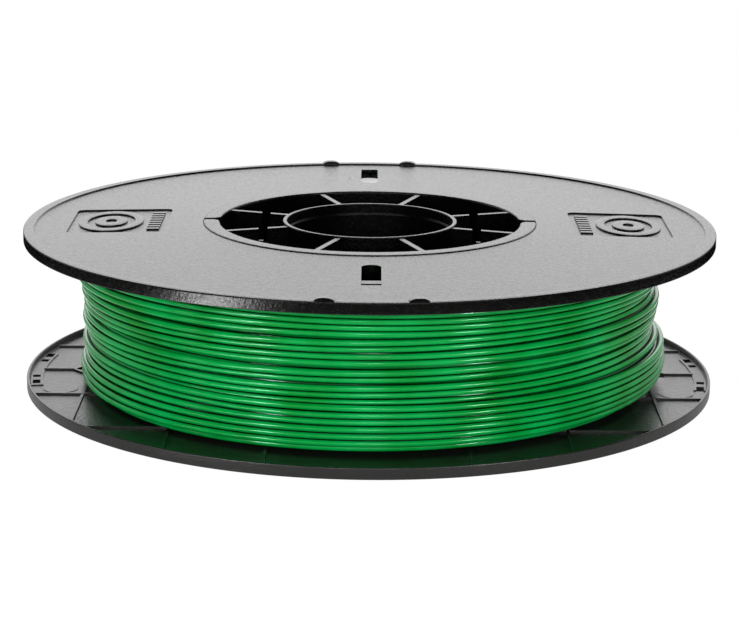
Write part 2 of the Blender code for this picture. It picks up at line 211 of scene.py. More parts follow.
# Unevenness left by the layers underneath: bearing in degrees, height, spread and size
BULGES = (
    (180, 0.0, 60.0 * MM, -1.0 * MM),
    (180, 16.0 * MM, 6.0 * MM, 2.7 * MM),
    (180, 4.0 * MM, 1.5 * MM, -0.9 * MM),
    (180, -10.0 * MM, 7.0 * MM, -1.6 * MM),
    (0, 18.0 * MM, 4.0 * MM, 1.6 * MM),
    (0, 8.5 * MM, 3.0 * MM, -2.6 * MM),
    (0, -3.0 * MM, 4.0 * MM, -1.8 * MM),
    (0, -13.5 * MM, 3.5 * MM, 2.6 * MM),
    (-14, -18.0 * MM, 3.5 * MM, -2.0 * MM),
    (-90, -19.0 * MM, 6.0 * MM, 3.2 * MM),
)
PART_LAYER_TOP = -9.5 * MM
PART_LAYER_DROP = 1.5 * MM
PART_LAYER_EASE = 1.2 * MM
# Finer unevenness: cycles round the spool, radians per metre of height, size
RIPPLES = ((1, 520.0, 0.22 * MM), (2, -910.0, 0.24 * MM), (3, 1540.0, 0.26 * MM), (5, 2300.0, 0.14 * MM))
# Wander of the strand along the axis: cycles per turn, size and phase
WANDER = ((0.21, 0.30 * MM, 0.4), (0.47, 0.22 * MM, 2.1), (1.06, 0.20 * MM, 4.4), (2.03, 0.08 * MM, 1.3))

# Painted shade: the filament's colour darkened down in the grooves between strands
GROOVE_SHADE = ((0.34, 0.02), (0.84, 1.0))

# Studio brightness: (position, share of the peak) along the named quantity
FLOOR_POOL = ((0.0, 0.22), (0.122, 0.22), (0.135, 0.42), (0.170, 0.42), (0.195, 0.0))
FLOOR_PEAK = 2.6
GLINT_BEARING = ((0.0, 0.0), (0.090, 0.0), (0.097, 1.0), (0.126, 1.0), (0.134, 0.0))
GLINT_REACH = ((0.0, 0.0), (0.14, 0.0), (0.18, 1.0), (0.42, 1.0), (0.50, 0.0))
GLINT_PEAK = 15.0
BACK_DEPTH = ((0.0, 0.0), (0.5, 0.0), (0.6, 1.0))
BACK_SPREAD = ((0.0, 1.0), (0.32, 1.0), (0.48, 0.28), (1.0, 0.28))
BACK_RISE = ((0.0, 0.66), (0.14, 0.66), (0.25, 0.72), (0.34, 1.0), (0.48, 1.0), (0.55, 0.0))
BACK_PEAK = 2.4
FRONT_DEPTH = ((0.0, 1.0), (0.06, 1.0), (0.20, 0.0))
FRONT_SPREAD = ((0.0, 1.0), (1.0, 1.0))
FRONT_RISE = ((0.10, 0.0), (0.15, 1.0), (0.32, 1.0), (0.42, 0.0))
FRONT_PEAK = 1.7

# Pieces that the low lamps don't shine on
FLAGGED_PIECES = ("upper_flange_moulding", "upper_hub_moulding", "lower_hub_moulding",
                  "upper_emblem_right", "upper_emblem_left", "upper_gate_scar")

OTHER_SIDE = Matrix.Rotation(math.pi / 2, 4, "Z") @ Matrix.Rotation(math.pi, 4, "X")


# ---------------------------------------------------------------- mesh helpers

def link(name, mesh):
    piece = bpy.data.objects.new(name, mesh)
    bpy.context.scene.collection.objects.link(piece)
    return piece


def object_from(name, shape):
    bmesh.ops.recalc_face_normals(shape, faces=shape.faces)
    mesh = bpy.data.meshes.new(name)
    shape.to_mesh(mesh)
    shape.free()
    return link(name, mesh)


def rounded(outline, radius, steps=3):
    """The closed outline with each corner replaced by a short arc."""
    result = []
    count = len(outline)
    for index, corner in enumerate(outline):
        here = Vector(corner)
        before = Vector(outline[index - 1]) - here
        after = Vector(outline[(index + 1) % count]) - here
        turn = before.angle(after)
        reach = min(radius / math.tan(turn / 2), 0.45 * before.length, 0.45 * after.length)
        start = here + before.normalized() * reach
        end = here + after.normalized() * reach
        for step in range(steps + 1):
            along = step / steps
            on_chord = start.lerp(end, along)
            pull = 2 * along * (1 - along)
            result.append(tuple(on_chord.lerp(here, pull * 0.83)))
    return result


def turned(name, outline, segments):
    """Turn a closed outline of (radius, height) points about the Z axis."""
    shape = bmesh.new()
    points = [shape.verts.new((radius, 0.0, height)) for radius, height in outline]
    edges = [shape.edges.new((point, points[index - 1])) for index, point in enumerate(points)]
    bmesh.ops.spin(shape, geom=points + edges, cent=(0, 0, 0), axis=(0, 0, 1),
                   angle=math.tau, steps=segments, use_merge=True)
    return object_from(name, shape)


def prism(name, outline, axis, start, end):
    """Extrude a flat outline of (a, b) points along X, Y or Z."""
    place = {"X": lambda a, b, c: (c, a, b), "Y": lambda a, b, c: (b, c, a),
             "Z": lambda a, b, c: (a, b, c)}[axis]
    shape = bmesh.new()
    rings = []
    for level in (start, end):
        rings.append([shape.verts.new(place(a, b, level)) for a, b in outline])
    shape.faces.new(rings[0])
    shape.faces.new(rings[1])
    for index in range(len(outline)):
        shape.faces.new((rings[0][index - 1], rings[0][index], rings[1][index], rings[1][index - 1]))
    return object_from(name, shape)


def box(low, high, turn=0.0):
    """A box between two corners, then turned about the Z axis."""
    outline = [(low[0], low[1]), (high[0], low[1]), (high[0], high[1]), (low[0], high[1])]
    made = prism("block", outline, "Z", low[2], high[2])
    made.data.transform(Matrix.Rotation(turn, 4, "Z"))
    return made


def combine(body, tool, operation):
    """Join a tool to a body, or cut it away, and drop the tool."""
    modifier = body.modifiers.new(operation.lower(), "BOOLEAN")
    modifier.object = tool
    modifier.operation = operation
    modifier.solver = "EXACT"
    apply_modifiers(body)
    bpy.data.objects.remove(tool, do_unlink=True)


def apply_modifiers(body):
    before = body.data
    evaluated = body.evaluated_get(bpy.context.evaluated_depsgraph_get())
    body.data = bpy.data.meshes.new_from_object(evaluated)
    body.modifiers.clear()
    bpy.data.meshes.remove(before)


def add(body, tool):
    combine(body, tool, "UNION")


def cut(body, tool):
    combine(body, tool, "DIFFERENCE")


def soften(body):
    """Small bevels on the cut edges, then shading led by the large faces."""
    bevel = body.modifiers.new("edge_bevel", "BEVEL")
    bevel.width = CUT_BEVEL
    bevel.segments = 2
    bevel.limit_method = "ANGLE"
    bevel.angle_limit = SHARP_ANGLE
    apply_modifiers(body)
    body.data.shade_smooth()
    body.data.set_sharp_from_angle(angle=SHARP_ANGLE)
    weighted = body.modifiers.new("weighted_normals", "WEIGHTED_NORMAL")
    weighted.keep_sharp = True
    weighted.weight = 90
    apply_modifiers(body)


def other_side_copy(upper, name):
    lower = link(name, upper.data.copy())
    lower.data.transform(OTHER_SIDE)
    return lower


def tube(name, radii, bearings, heights, strand_radius, sides, closed):
    """Round strand along points given by radius, bearing and height about the Z axis."""
    count = len(radii)
    around = np.arange(sides) * (math.tau / sides)
    ring_radii = radii[:, None] + strand_radius * np.cos(around)[None, :]
    ring_heights = heights[:, None] + strand_radius * np.sin(around)[None, :]
    vertices = np.empty((count, sides, 3))
    vertices[:, :, 0] = ring_radii * np.cos(bearings)[:, None]
    vertices[:, :, 1] = ring_radii * np.sin(bearings)[:, None]
    vertices[:, :, 2] = ring_heights
    rows = np.arange(count if closed else count - 1)
    first = rows[:, None] * sides + np.arange(sides)[None, :]
    second = rows[:, None] * sides + (np.arange(sides)[None, :] + 1) % sides
    total = count * sides
    faces = np.stack([first, second, (second + sides) % total, (first + sides) % total], axis=-1)
    faces = faces.reshape(-1, 4)
    if bearings[1] > bearings[0]:
        faces = faces[:, ::-1]
    mesh = bpy.data.meshes.new(name)
    caps = [] if closed else [list(range(sides)), list(range((count - 1) * sides, count * sides))]
    mesh.from_pydata(vertices.reshape(-1, 3).tolist(), [], faces.tolist() + caps)
    fixer = bmesh.new()
    fixer.from_mesh(mesh)
    bmesh.ops.recalc_face_normals(fixer, faces=fixer.faces)
    fixer.to_mesh(mesh)
    fixer.free()
    mesh.shade_smooth()
    mesh.set_sharp_from_angle(angle=math.radians(60))
    return link(name, mesh)


def joined(name, pieces):
    """One object that holds several closed meshes."""
    shape = bmesh.new()
    for piece in pieces:
        shape.from_mesh(piece.data)
        bpy.data.objects.remove(piece, do_unlink=True)
    mesh = bpy.data.meshes.new(name)
    shape.to_mesh(mesh)
    shape.free()
    mesh.shade_smooth()
    mesh.set_sharp_from_angle(angle=math.radians(60))
    return link(name, mesh)


# ------------------------------------------------------------------- materials

def new_material(name):
    material = bpy.data.materials.new(name)
    material.use_nodes = True
    tree = material.node_tree
    return material, tree, tree.nodes["Principled BSDF"]


def node(tree, kind, **inputs):
    made = tree.nodes.new(kind)
    for key, value in inputs.items():
        made.inputs[key.replace("_", " ")].default_value = value
    return made


def colour_ramp(tree, source, low, high, low_at=0.3, high_at=0.7):
    ramp = tree.nodes.new("ShaderNodeValToRGB")
    ramp.color_ramp.elements[0].position = low_at
    ramp.color_ramp.elements[0].color = low
    ramp.color_ramp.elements[1].position = high_at
    ramp.color_ramp.elements[1].color = high
    tree.links.new(source, ramp.inputs["Fac"])
    return ramp.outputs["Color"]


def value_range(tree, source, low, high):
    made = tree.nodes.new("ShaderNodeMapRange")
    made.inputs["To Min"].default_value = low
    made.inputs["To Max"].default_value = high
    tree.links.new(source, made.inputs["Value"])
    return made.outputs["Result"]


def bumped(tree, source, strength, distance, normal=None):
    bump = node(tree, "ShaderNodeBump", Strength=strength, Distance=distance)
    tree.links.new(source, bump.inputs["Height"])
    if normal is not None:
        tree.links.new(normal, bump.inputs["Normal"])
    return bump.outputs["Normal"]


def object_coordinates(tree):
    return tree.nodes.new("ShaderNodeTexCoord").outputs["Object"]


def noise(tree, coordinates, scale, detail, roughness=0.5):
    made = node(tree, "ShaderNodeTexNoise", Scale=scale, Detail=detail, Roughness=roughness)
    tree.links.new(coordinates, made.inputs["Vector"])
    return made.outputs["Fac"]


def ramped(tree, source, points):
    """Piecewise brightness: a list of (position, value) along the source."""
    ramp = tree.nodes.new("ShaderNodeValToRGB")
    stops = ramp.color_ramp.elements
    while len(stops) < len(points):
        stops.new(0.5)
    for stop, (position, value) in zip(stops, points):
        stop.position = position
        stop.color = (value, value, value, 1)
    tree.links.new(source, ramp.inputs["Fac"])
    return ramp.outputs["Color"]


def black_plastic(name, tone, smoothest, roughest):
    """Satin black moulding: spark-eroded grain, faint flow marks and handling scuffs."""
    material, tree, shader = new_material(name)
    place = object_coordinates(tree)
    flow = noise(tree, place, 28.0, 3.0)
    mottle = noise(tree, place, 800.0, 3.0, 0.65)
    grain = noise(tree, place, 2300.0, 2.0)
    darker = (tone, tone * 0.94, tone * 0.88, 1)
    lighter = (tone * 1.5, tone * 1.4, tone * 1.3, 1)
    base = colour_ramp(tree, flow, darker, lighter)
    tree.links.new(base, shader.inputs["Base Color"])
    tree.links.new(value_range(tree, mottle, smoothest, roughest), shader.inputs["Roughness"])
    fine = bumped(tree, grain, 0.6, 0.00007)
    tree.links.new(bumped(tree, mottle, 0.8, 0.00014, fine), shader.inputs["Normal"])
    shader.inputs["IOR"].default_value = 1.5
    return material


def green_filament(name):
    """Glossy extruded strand, a little paler and duller in patches."""
    material, tree, shader = new_material(name)
    place = object_coordinates(tree)
    patches = noise(tree, place, 60.0, 4.0)
    ripple = noise(tree, place, 900.0, 2.0)
    base = colour_ramp(tree, patches, (0.0, 0.24, 0.022, 1), (0.002, 0.42, 0.085, 1))
    # Painted shade: the base colour is darkened where the strand is hemmed in by its neighbours
    hollows = node(tree, "ShaderNodeAmbientOcclusion", Distance=1.2 * MM)
    hollows.samples = 6
    depth = ramped(tree, hollows.outputs["AO"], GROOVE_SHADE)
    shaded = tree.nodes.new("ShaderNodeVectorMath")
    shaded.operation = "MULTIPLY"
    tree.links.new(base, shaded.inputs[0])
    tree.links.new(depth, shaded.inputs[1])
    tree.links.new(shaded.outputs["Vector"], shader.inputs["Base Color"])
    tree.links.new(value_range(tree, patches, 0.12, 0.20), shader.inputs["Roughness"])
    tree.links.new(bumped(tree, ripple, 0.10, 0.00006), shader.inputs["Normal"])
    shader.inputs["Specular Tint"].default_value = (0.55, 1.0, 0.8, 1)
    shader.inputs["IOR"].default_value = 1.46
    return material


def dress(piece, material):
    piece.data.materials.clear()
    piece.data.materials.append(material)
    return piece


# -------------------------------------------------------------------- mouldings

def web_top(radius):
    """Height of the web's outer face, which rises a little towards the hub."""
    reach = FLANGE_RADIUS - RIM_WIDTH - LIP_OUTER
    return WEB_TOP_AT_HUB + (WEB_TOP_AT_RIM - WEB_TOP_AT_HUB) * (radius - LIP_OUTER) / reach


def web_slope():
    return math.atan2(WEB_TOP_AT_HUB - WEB_TOP_AT_RIM, FLANGE_RADIUS - RIM_WIDTH - LIP_OUTER)


def flange_outline():
    seat = LIP_OUTER + LIP_CLEARANCE
    bore = BARREL_OUTER + GAP
    rim_inner = FLANGE_RADIUS - RIM_WIDTH
    return rounded([
        (bore, WEB_UNDERSIDE),
        (RIM_FOOT_INNER, WEB_UNDERSIDE),
        (RIM_FOOT_INNER, RIM_FOOT_TOP),
        (RIM_LIP_INNER, RIM_UNDERSIDE),
        (FLANGE_RADIUS, RIM_UNDERSIDE),
        (FLANGE_RADIUS, RIM_TOP - EDGE_DROP - EDGE_ROUNDING),
        (FLANGE_RADIUS - EDGE_ROUNDING, RIM_TOP - EDGE_DROP),
        (FLANGE_RADIUS - EDGE_LAND, RIM_TOP),
        (rim_inner, RIM_TOP),
        (rim_inner, WEB_TOP_AT_RIM),
        (seat, web_top(seat)),
        (seat, SHOULDER_TOP),
        (bore, SHOULDER_TOP),
    ], FILLET)


def arc(centre, radius, start, end, steps):
    """Points on an arc, from one bearing to another."""
    bearings = [start + (end - start) * step / steps for step in range(steps + 1)]
    return [(centre[0] + radius * math.cos(b), centre[1] + radius * math.sin(b)) for b in bearings]


def slot_outline(middle, low, high, low_round, high_round):
    """Window seen from above; a rounded end bulges towards +Y by the given amount."""
    half = WINDOW_WIDTH / 2
    outline = []
    for step in range(13):
        across = 1 - 2 * step / 12
        bulge = high_round * (1 - math.sqrt(1 - 0.96 * across ** 2))
        outline.append((middle + half * across, high - bulge))
    for step in range(13):
        across = -1 + 2 * step / 12
        bulge = low_round * (1 - math.sqrt(1 - 0.96 * across ** 2))
        outline.append((middle + half * across, low - bulge))
    return outline


def cut_ramp(flange, middle, start, end, drop, rounding):
    """Recess whose floor slopes from just under the web's face down to the window's edge."""
    cutter = prism("ramp", slot_outline(middle, start, end, rounding, 0.0), "Z", 0.0, HUB_TOP + OVERSHOOT)
    high = web_top(abs(start)) - RAMP_STEP
    slope = (web_top(abs(end)) - drop - high) / (end - start)
    for vertex in cutter.data.vertices:
        if vertex.co.z < HUB_TOP:
            vertex.co.z = high + slope * (vertex.co.y - start)
    cut(flange, cutter)


def add_windows(flange):
    """Two filament slots near the Y axis, each with a shallow ramp on its -Y side."""
    half = WINDOW_WIDTH / 2
    near, far = NEAR_WINDOW_X, FAR_WINDOW_X
    below = WEB_UNDERSIDE - OVERSHOOT
    above = HUB_TOP + OVERSHOOT
    cut_ramp(flange, near, NEAR_RAMP_START, NEAR_WINDOW[0] + SINK, NEAR_RAMP_DROP, 0.0)
    cut_ramp(flange, far, FAR_RAMP_START, FAR_WINDOW[0] + SINK, FAR_RAMP_DROP, FAR_RAMP_ROUNDING)
    cut(flange, prism("slot", slot_outline(near, *NEAR_WINDOW, 0.0, WINDOW_ROUNDING), "Z", below, above))
    cut(flange, prism("slot", slot_outline(far, *FAR_WINDOW, WINDOW_ROUNDING, 0.0), "Z", below, above))
    cut(flange, box((near - half, GROOVE[0], WEB_UNDERSIDE + SINK), (near + half, GROOVE[1], above)))


def add_fork(flange, side):
    """Thin rib on the underside that parts at the rim side of a window and runs on both sides of it."""
    inner = FORK_HALF_WIDTH - RIB_WIDTH
    slant = RIB_WIDTH / 2
    right = [(FORK_HALF_WIDTH, FORK_SHOULDER), (FORK_HALF_WIDTH, FORK_END), (inner, FORK_END),
             (inner, FORK_SHOULDER - slant)]
    outline = [(0.0, FORK_TIP)] + right + [(0.0, FORK_TIP - RIB_WIDTH - slant)]
    outline += [(-x, y) for x, y in reversed(right)]
    rib = prism("fork", outline, "Z", WEB_UNDERSIDE - RIB_HEIGHT, WEB_UNDERSIDE + SINK)
    rib.data.transform(Matrix.Rotation(0.0 if side > 0 else math.pi, 4, "Z"))
    add(flange, rib)


def add_pad(flange, side):
    """Low pad on the underside that carries the filament pockets, inside the rim."""
    middle = side * math.pi / 2
    start, end = middle - PAD_HALF_ANGLE, middle + PAD_HALF_ANGLE
    outline = arc((0.0, 0.0), PAD_INNER, start, end, PAD_STEPS)
    outline += arc((0.0, 0.0), RIM_FOOT_INNER + SINK, end, start, PAD_STEPS)
    add(flange, prism("pad", outline, "Z", PAD_UNDERSIDE, WEB_UNDERSIDE + SINK))


def add_ejector_marks(flange):
    """Two round ejector marks, raised a hair from the underside."""
    x, y = EJECTOR_MARK
    for side in (1, -1):
        outline = arc((x, side * y), EJECTOR_RADIUS, 0.0, math.tau * 47 / 48, 47)
        add(flange, prism("ejector", outline, "Z", WEB_UNDERSIDE - 0.13 * MM, WEB_UNDERSIDE + SINK))


def panel_place(side):
    """Frame on the web's outer face at a panel's middle: x outwards, z off the face."""
    middle = PANEL_START + PANEL_LENGTH / 2
    place = Matrix.Translation((middle, 0.0, web_top(middle))) @ Matrix.Rotation(web_slope(), 4, "Y")
    return Matrix.Rotation(0.0 if side > 0 else math.pi, 4, "Z") @ place


def add_panel(flange, side):
    shape = bmesh.new()
    bmesh.ops.create_cube(shape, size=1.0)
    bmesh.ops.scale(shape, vec=(PANEL_LENGTH, PANEL_WIDTH, 2 * PANEL_DEPTH), verts=shape.verts)
    upright = [edge for edge in shape.edges if abs(edge.verts[0].co.z - edge.verts[1].co.z) > PANEL_DEPTH]
    bmesh.ops.bevel(shape, geom=upright, offset=PANEL_CORNER, segments=6, affect="EDGES", profile=0.5)
    cutter = object_from("panel", shape)
    cutter.data.transform(panel_place(side))
    cut(flange, cutter)


def add_lug(flange, bearing, mirror):
    """Low domed stop on the rim, with two filament pockets under it."""
    half = LUG_LENGTH / 2
    outline = [(RIM_TOP - SINK, -half), (RIM_TOP - SINK, half)]
    for step in range(17):
        across = 1 - step / 8
        outline.append((RIM_TOP + (LUG_TOP - RIM_TOP) * (1 - abs(across) ** 3), half * across))
    lug = prism("lug", outline, "Y", LUG_RADIUS - LUG_WIDTH / 2, LUG_RADIUS + LUG_WIDTH / 2)
    lug.data.transform(Matrix.Rotation(bearing, 4, "Z"))
    add(flange, lug)
    for side, size in zip((mirror, -mirror), POCKET_SIZES):
        middle = side * POCKET_SPACING
        cut(flange, box((middle - size / 2, POCKET_RADIUS - POCKET_WIDTH / 2, PAD_UNDERSIDE - OVERSHOOT),
                        (middle + size / 2, POCKET_RADIUS + POCKET_WIDTH / 2, POCKET_TOP), bearing))


def rib_spans(offset):
    outer_end = math.sqrt((RIM_FOOT_INNER - GAP) ** 2 - (offset + RIB_WIDTH / 2) ** 2)
    clear_of_hub = LIP_OUTER + OVERSHOOT
    if offset > clear_of_hub:
        return [(-outer_end, outer_end)]
    inner_end = math.sqrt(clear_of_hub ** 2 - max(offset - RIB_WIDTH / 2, 0.0) ** 2)
    return [(inner_end, outer_end), (-outer_end, -inner_end)]


def add_ribs(flange):
    half = RIB_WIDTH / 2
    underside = WEB_UNDERSIDE - RIB_HEIGHT
    for step in (1, 2, 3):
        for offset in (step * ROW_PITCH, -step * ROW_PITCH):
            for start, end in rib_spans(abs(offset)):
                add(flange, box((start, offset - half, underside),
                                (end, offset + half, WEB_UNDERSIDE + SINK)))
    for offset in [0.0] + [sign * offset for offset in COLUMN_OFFSETS[1:] for sign in (1, -1)]:
        for start, end in rib_spans(abs(offset)):
            if offset == 0.0:
                fork_tip = math.copysign(FORK_TIP - RIB_WIDTH, start + end)
                start, end = sorted((fork_tip, math.copysign(PAD_INNER + SINK, start + end)))
            add(flange, box((offset - half, start, underside - RIB_LEVEL_STEP),
                            (offset + half, end, WEB_UNDERSIDE + SINK)))


def flange_moulding(name):
    flange = turned(name, flange_outline(), FLANGE_SEGMENTS)
    add_ribs(flange)
    add_ejector_marks(flange)
    for side in (1, -1):
        add_fork(flange, side)
        add_pad(flange, side)
        add_panel(flange, side)
    add_windows(flange)
    for half_turn, places in ((0.0, FAR_LUGS), (math.pi, NEAR_LUGS)):
        for place in places:
            add_lug(flange, half_turn - math.asin(place / LUG_RADIUS), math.copysign(1.0, place))
    soften(flange)
    return flange


def barrel_outline():
    return rounded([
        (BARREL_INNER, HUB_FOOT),
        (BARREL_OUTER, HUB_FOOT),
        (BARREL_OUTER, SHOULDER_TOP + GAP),
        (LIP_OUTER, SHOULDER_TOP + GAP),
        (LIP_OUTER, HUB_TOP),
        (BARREL_INNER, HUB_TOP),
    ], 2 * FILLET, 5)


def tube_outline():
    return rounded([
        (BORE_RADIUS, HUB_FOOT),
        (TUBE_OUTER, HUB_FOOT),
        (TUBE_OUTER, HUB_TOP),
        (TUBE_INNER, HUB_TOP),
        (TUBE_INNER, BORE_LEDGE),
        (BORE_RADIUS, BORE_LEDGE),
    ], FILLET)


def add_spokes(hub):
    half = SPOKE_THICKNESS / 2
    for quarter in range(4):
        for spread in (-SPOKE_SPREAD, SPOKE_SPREAD):
            bearing = quarter * math.pi / 2 + spread
            add(hub, box((TUBE_OUTER - SINK, -half, SPOKE_FOOT),
                         (BARREL_INNER + 2 * SINK, half, SPOKE_TOP), bearing))


def add_cross_rib(hub, side):
    half = SPOKE_THICKNESS / 2
    middle = side * CROSS_RIB_X
    add(hub, box((middle - half, -CROSS_RIB_REACH, 2 * SPOKE_FOOT),
                 (middle + half, CROSS_RIB_REACH, CROSS_RIB_TOP)))
    add(hub, box((middle - POST_WIDTH / 2, -CROSS_RIB_REACH + SINK, 3 * SPOKE_FOOT),
                 (middle + POST_WIDTH / 2, -CROSS_RIB_REACH + SINK + POST_DEPTH, POST_TOP)))
    spoke_y = CROSS_RIB_X * math.tan(SPOKE_SPREAD)
    for end in (1, -1):
        cut(hub, box((middle - NOTCH_WIDTH / 2, end * spoke_y - NOTCH_REACH, NOTCH_BOTTOM),
                     (middle + NOTCH_WIDTH / 2, end * spoke_y + NOTCH_REACH, SPOKE_TOP + OVERSHOOT)))


def cut_slit(hub, side):
    half = SLIT_WIDTH / 2
    mouth = SLIT_MOUTH_WIDTH / 2
    upper = [
        (LIP_OUTER + OVERSHOOT, half),
        (BARREL_INNER + SLIT_MOUTH_DEPTH, half),
        (BARREL_INNER + SLIT_MOUTH_DEPTH / 3, 1.8 * half),
        (BARREL_INNER, mouth),
        (BARREL_INNER - OVERSHOOT, mouth),
    ]
    outline = upper + [(x, -y) for x, y in reversed(upper)]
    cutter = prism("slit", outline, "Z", HUB_FOOT - OVERSHOOT, HUB_TOP + OVERSHOOT)
    cutter.data.transform(Matrix.Rotation(0.0 if side > 0 else math.pi, 4, "Z"))
    cut(hub, cutter)


def add_tongue(hub, bearing):
    outline = [
        (TONGUE_INNER, -TONGUE_REACH),
        (TONGUE_OUTER, -TONGUE_REACH),
        (TONGUE_OUTER, SPOKE_FOOT),
        (BARREL_INNER + SINK, SPOKE_FOOT),
        (BARREL_INNER + SINK, TONGUE_ROOT),
        (TONGUE_INNER, TONGUE_ROOT),
    ]
    tongue = prism("tongue", [(z, x) for x, z in outline], "Y", -TONGUE_WIDTH / 2, TONGUE_WIDTH / 2)
    tongue.data.transform(Matrix.Rotation(bearing, 4, "Z"))
    add(hub, tongue)


def hub_moulding(name):
    hub = turned(name, barrel_outline(), HUB_SEGMENTS)
    add_spokes(hub)
    add(hub, turned("tube", tube_outline(), HUB_SEGMENTS))
    for side in (1, -1):
        add_cross_rib(hub, side)
        cut_slit(hub, side)
    for half_turn in (0.0, math.pi):
        add_tongue(hub, half_turn + TONGUE_ANGLE)
    soften(hub)
    return hub


# ---------------------------------------------------------------------- winding

def under_layers(bearings, heights):
    """Radius of the layers underneath the visible ones, which are wound unevenly."""
    radius = np.full_like(heights, UNDER_LAYERS_RADIUS)
    for bearing, height, spread, size in BULGES:
        facing = (1 + np.cos(bearings - math.radians(bearing))) / 2
        radius = radius + size * facing ** 2 * np.exp(-((heights - height) / spread) ** 2)
    for cycles, rise, size in RIPPLES:
        radius = radius + size * np.sin(cycles * bearings + rise * heights)
    lowered = 1 / (1 + np.exp((heights - PART_LAYER_TOP) / PART_LAYER_EASE))
    return radius - PART_LAYER_DROP * lowered


def traverse(turns):
    """Height of the strand's guide, which runs up and down between the flanges."""
    phase = np.mod(turns / LAYER_TURNS, 2.0)
    height = WIND_TOP * (1 - 2 * np.where(phase < 1, phase, 2 - phase))
    for cycles, size, start in WANDER:
        height = height + size * np.sin(math.tau * cycles * turns + start)
    return np.clip(height, -WIND_TOP, WIND_TOP)


def laid_heights(turn_count, start, within):
    """Heights of every turn; a turn lies beside the one before it and never closer than touching."""
    heights = np.empty((turn_count, within.size))
    for turn in range(turn_count):
        wanted = traverse(start + turn + within)
        direction = 1.0 if int((start + turn + 0.5) / LAYER_TURNS) % 2 else -1.0
        if turn:
            least = heights[turn - 1] + direction * CLOSEST_PITCH
            wanted = np.maximum(wanted, least) if direction > 0 else np.minimum(wanted, least)
        heights[turn] = np.clip(wanted, -WIND_TOP, WIND_TOP)
    return heights


def wound_path():
    """Radii, bearings and heights of the outer layers' strand, each turn resting on those before it."""
    last = 3 * LAYER_TURNS + LAST_LAYER_TURNS
    turn_count = int(last)
    within = (np.arange(SAMPLES_PER_TURN) + 1) / SAMPLES_PER_TURN
    end_bearing = math.atan2(FREE_END_PIVOT.y, FREE_END_PIVOT.x)
    bearings = end_bearing + math.tau * (1 - within)
    heights = laid_heights(turn_count, last - turn_count, within)
    heights[-1] = blend_to(heights[-1], FREE_END_PIVOT.z, within, 0.7)
    heights = smoothed(heights.reshape(-1), 11).reshape(heights.shape)
    radii = np.empty_like(heights)
    for turn in range(turn_count):
        rest = under_layers(bearings, heights[turn]) + STRAND_RADIUS
        for below in range(max(0, turn - 45), turn):
            apart = (heights[turn] - heights[below]) ** 2
            reach = np.sqrt(np.maximum(4 * STRAND_RADIUS ** 2 - apart, 0.0))
            rest = np.where(reach > 0, np.maximum(rest, radii[below] + reach), rest)
        radii[turn] = rest
    flat_radii = smoothed(radii.reshape(-1), 13)
    whole = np.arange(flat_radii.size) / flat_radii.size
    pivot_radius = math.hypot(FREE_END_PIVOT.x, FREE_END_PIVOT.y)
    flat_radii = blend_to(flat_radii, pivot_radius, whole, 1 - 0.15 / turn_count)
    full_bearings = np.concatenate([bearings - math.tau * turn for turn in range(turn_count)])
    return flat_radii, full_bearings, heights.reshape(-1)


def blend_to(values, goal, along, start):
    """Ease the values towards a goal from a start fraction to the end."""
    ease = np.clip((along - start) / (1 - start), 0.0, 1.0)
    ease = ease * ease * (3 - 2 * ease)
    return values * (1 - ease) + goal * ease


def smoothed(values, width):
    padded = np.pad(values, width // 2, mode="edge")
    return np.convolve(padded, np.ones(width) / width, mode="valid")


def outer_layers(material):
    radii, bearings, heights = wound_path()
    strand = tube("filament_outer_layers", radii, bearings, heights, STRAND_RADIUS, OUTER_SIDES, False)
    return dress(strand, material)


def layer_top(radius):
    """Height of a hidden layer's last turn; the ends of the winding are slightly dished."""
    return WIND_TOP - END_LAYERS_DROP - DISH_SLOPE * max(0.0, DISH_RADIUS - radius)


def end_turns(material):
    """First and last turn of each hidden layer, as the two ends of the winding show them."""
    samples = 160
    bearings = np.arange(samples) * (math.tau / samples)
    radius = COIL_INNER + STRAND_RADIUS
    rings = []
    index = 0
    while radius < UNDER_LAYERS_RADIUS:
        for side in (1, -1):
            phase = 2.4 * index + side
            drift = END_TURN_SWAY * np.sin(bearings + phase)
            drift = drift + END_TURN_RIPPLE * np.sin(3 * bearings + 2 * phase)
            heights = side * (layer_top(radius) + drift)
            radii = radius + END_TURN_WOBBLE * np.sin(2 * bearings + phase)
            rings.append(tube("turn", radii, bearings, heights, STRAND_RADIUS, INNER_SIDES, True))
        radius += HIDDEN_LAYER_STEP
        index += 1
    return dress(joined("filament_end_turns", rings), material)


def first_layer(material):
    """The layer that lies on the barrel."""
    samples = 120
    top = layer_top(COIL_INNER)
    turns = int(2 * top / FIRST_LAYER_PITCH)
    along = np.arange(turns * samples) / (turns * samples)
    bearings = along * math.tau * turns
    heights = top * (2 * along - 1)
    radii = np.full_like(along, COIL_INNER + STRAND_RADIUS)
    strand = tube("filament_first_layer", radii, bearings, heights, STRAND_RADIUS, INNER_SIDES, False)
    return dress(strand, material)


def winding_core(material):
    """Closely packed middle layers, as one ring with a grooved skin."""
    inner = COIL_INNER + STRAND_RADIUS
    outer = UNDER_LAYERS_RADIUS - CORE_INSET
    low = layer_top(inner) - CORE_DROP
    top = layer_top(DISH_RADIUS) - CORE_DROP
    outline = [(inner, -low), (DISH_RADIUS, -top)]
    for index in range(CORE_GROOVES * 4 + 1):
        along = index / (CORE_GROOVES * 4)
        ripple = abs(math.sin(math.pi * CORE_GROOVES * along))
        outline.append((outer + CORE_RIPPLE * ripple, top * (2 * along - 1)))
    outline += [(DISH_RADIUS, top), (inner, low)]
    core = turned("filament_middle_layers", outline, 128)
    core.data.shade_smooth()
    core.data.set_sharp_from_angle(angle=SHARP_ANGLE)
    return dress(core, material)


